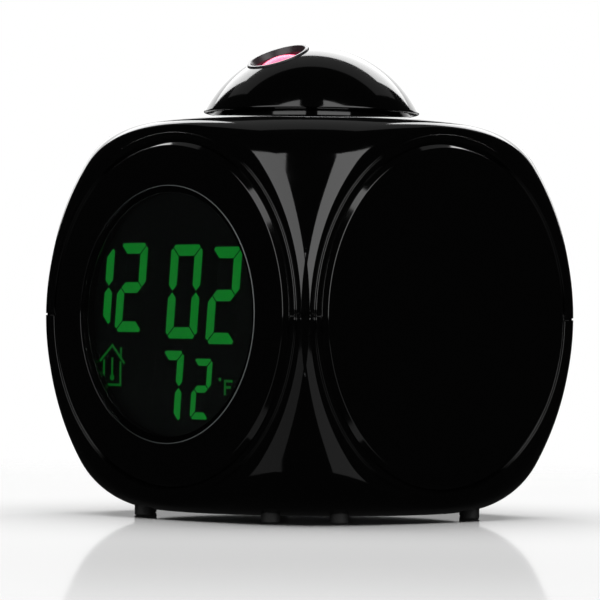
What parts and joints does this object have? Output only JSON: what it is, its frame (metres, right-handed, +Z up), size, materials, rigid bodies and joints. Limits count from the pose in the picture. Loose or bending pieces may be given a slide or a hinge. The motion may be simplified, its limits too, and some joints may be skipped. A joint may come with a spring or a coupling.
{
  "type": "projection alarm clock",
  "caption": "Rounded cube clock with round side panels, a digital display in front and a pressed dome on top that carries a ceiling projector.",
  "frame": {"origin": "middle of the footprint, level with the soles of the feet", "axes": "+Z up, the display faces -Y, +X is the right-hand plain panel"},
  "size_m": [0.085, 0.085, 0.1033],
  "materials": {
    "gloss_black_abs": "high-gloss injection-moulded black ABS",
    "satin_black_abs": "fine satin moulded black ABS",
    "foot_rubber": "matt black rubber",
    "smoked_acrylic": "polished clear to smoked acrylic",
    "lcd_glass": "dark liquid crystal cell under a polariser",
    "white_acrylic": "white-backed clear acrylic light guide",
    "white_lamp": "clear moulded lamp",
    "grey_silicone": "soft silicone",
    "green_board": "green solder mask",
    "black_epoxy": "cured black epoxy",
    "capacitor_sleeve": "shrunk dark blue sleeve",
    "plated_steel": "nickel-plated steel",
    "black_paper": "coated black paper",
    "cell_jacket": "plain printed film jacket",
    "spring_steel": "bright nickel-plated spring wire",
    "red_lit_lens": "polished acrylic lens, lit red-pink from inside",
    "clear_lens": "polished acrylic",
    "red_lamp": "clear red epoxy lamp"
  },
  "bodies": {
    "clock_body": {"backlight_leds": "white_lamp", "battery_cells": "cell_jacket", "battery_contacts": "spring_steel", "battery_springs": "spring_steel", "battery_tray": "satin_black_abs", "bridge_screws": "plated_steel", "capacitors": "capacitor_sleeve", "case_screws": "plated_steel", "clock_chip": "black_epoxy", "crystal": "plated_steel", "display_screws": "plated_steel", "display_window": "smoked_acrylic", "dome_springs": "spring_steel", "feet": "foot_rubber", "front_panel": "gloss_black_abs", "key_board": "green_board", "key_board_screws": "plated_steel", "key_switches": "satin_black_abs", "lcd_glass": "lcd_glass", "lcd_holder": "satin_black_abs", "left_panel": "gloss_black_abs", "light_guide": "white_acrylic", "lower_shell": "gloss_black_abs", "main_board": "green_board", "rear_panel": "gloss_black_abs", "right_panel": "gloss_black_abs", "snooze_board": "green_board", "snooze_pad": "grey_silicone", "speaker_cone": "black_paper", "speaker_frame": "plated_steel", "spring_bridge": "satin_black_abs", "temperature_sensor": "black_epoxy", "tray_screws": "plated_steel", "upper_shell": "gloss_black_abs", "zebra_strips": "grey_silicone"},
    "dome": {"dome_cap": "gloss_black_abs", "dome_retainer": "satin_black_abs", "retainer_screws": "plated_steel", "lens_bezel": "satin_black_abs", "projector_lens": "red_lit_lens", "projector_barrel": "satin_black_abs", "time_slide": "lcd_glass", "condenser_lens": "clear_lens", "projector_lamp": "red_lamp", "lamp_board": "green_board"},
    "battery_cover": {"battery_door": "satin_black_abs"},
    "mode_key": {"mode_button": "gloss_black_abs", "mode_plunger": "satin_black_abs"},
    "alarm_key": {"alarm_button": "gloss_black_abs", "alarm_plunger": "satin_black_abs"},
    "down_key": {"down_button": "gloss_black_abs", "down_plunger": "satin_black_abs"},
    "up_key": {"up_button": "gloss_black_abs", "up_plunger": "satin_black_abs"}
  },
  "joints": [
    {"name": "dome_press", "type": "slide", "parent": "clock_body", "child": "dome", "axis": [0, 0, -1], "range_m": [0, 0.0012], "stiffness_N_per_m": 3000, "deforming": ["dome_springs", "snooze_pad"]},
    {"name": "battery_door_swing", "type": "hinge", "parent": "clock_body", "child": "battery_cover", "pos_m": [-0.0257, 0, 0.00145], "axis": [0, 1, 0], "range_deg": [0, 100]},
    {"name": "mode_press", "type": "slide", "parent": "clock_body", "child": "mode_key", "axis": [0, -1, 0], "range_m": [0, 0.0005], "stiffness_N_per_m": 1500},
    {"name": "alarm_press", "type": "slide", "parent": "clock_body", "child": "alarm_key", "axis": [0, -1, 0], "range_m": [0, 0.0005], "stiffness_N_per_m": 1500},
    {"name": "down_press", "type": "slide", "parent": "clock_body", "child": "down_key", "axis": [0, -1, 0], "range_m": [0, 0.0005], "stiffness_N_per_m": 1500},
    {"name": "up_press", "type": "slide", "parent": "clock_body", "child": "up_key", "axis": [0, -1, 0], "range_m": [0, 0.0005], "stiffness_N_per_m": 1500}
  ]
}
